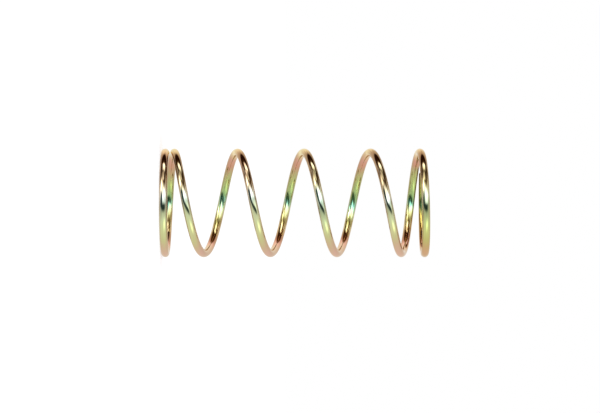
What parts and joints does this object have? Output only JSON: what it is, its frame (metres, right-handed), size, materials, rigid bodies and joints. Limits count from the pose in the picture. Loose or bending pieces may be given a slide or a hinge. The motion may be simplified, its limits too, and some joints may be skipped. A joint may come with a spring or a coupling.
{
  "type": "trimmer head spring",
  "caption": "Cylindrical compression spring of round plated wire with closed end coils, for the spool of a line trimmer head.",
  "frame": {"origin": "on the coil axis, in the plane of the seated end coil", "axes": "+Z along the coil axis, from the seated end coil to the far end coil; the lower wire tip points 180 degrees round from +X"},
  "size_m": [0.027, 0.027, 0.0663],
  "materials": {
    "plated_wire": "drawn spring steel wire with yellow zinc chromate plating, iridescent"
  },
  "bodies": {
    "root": {"spring": "plated_wire"}
  },
  "joints": []
}
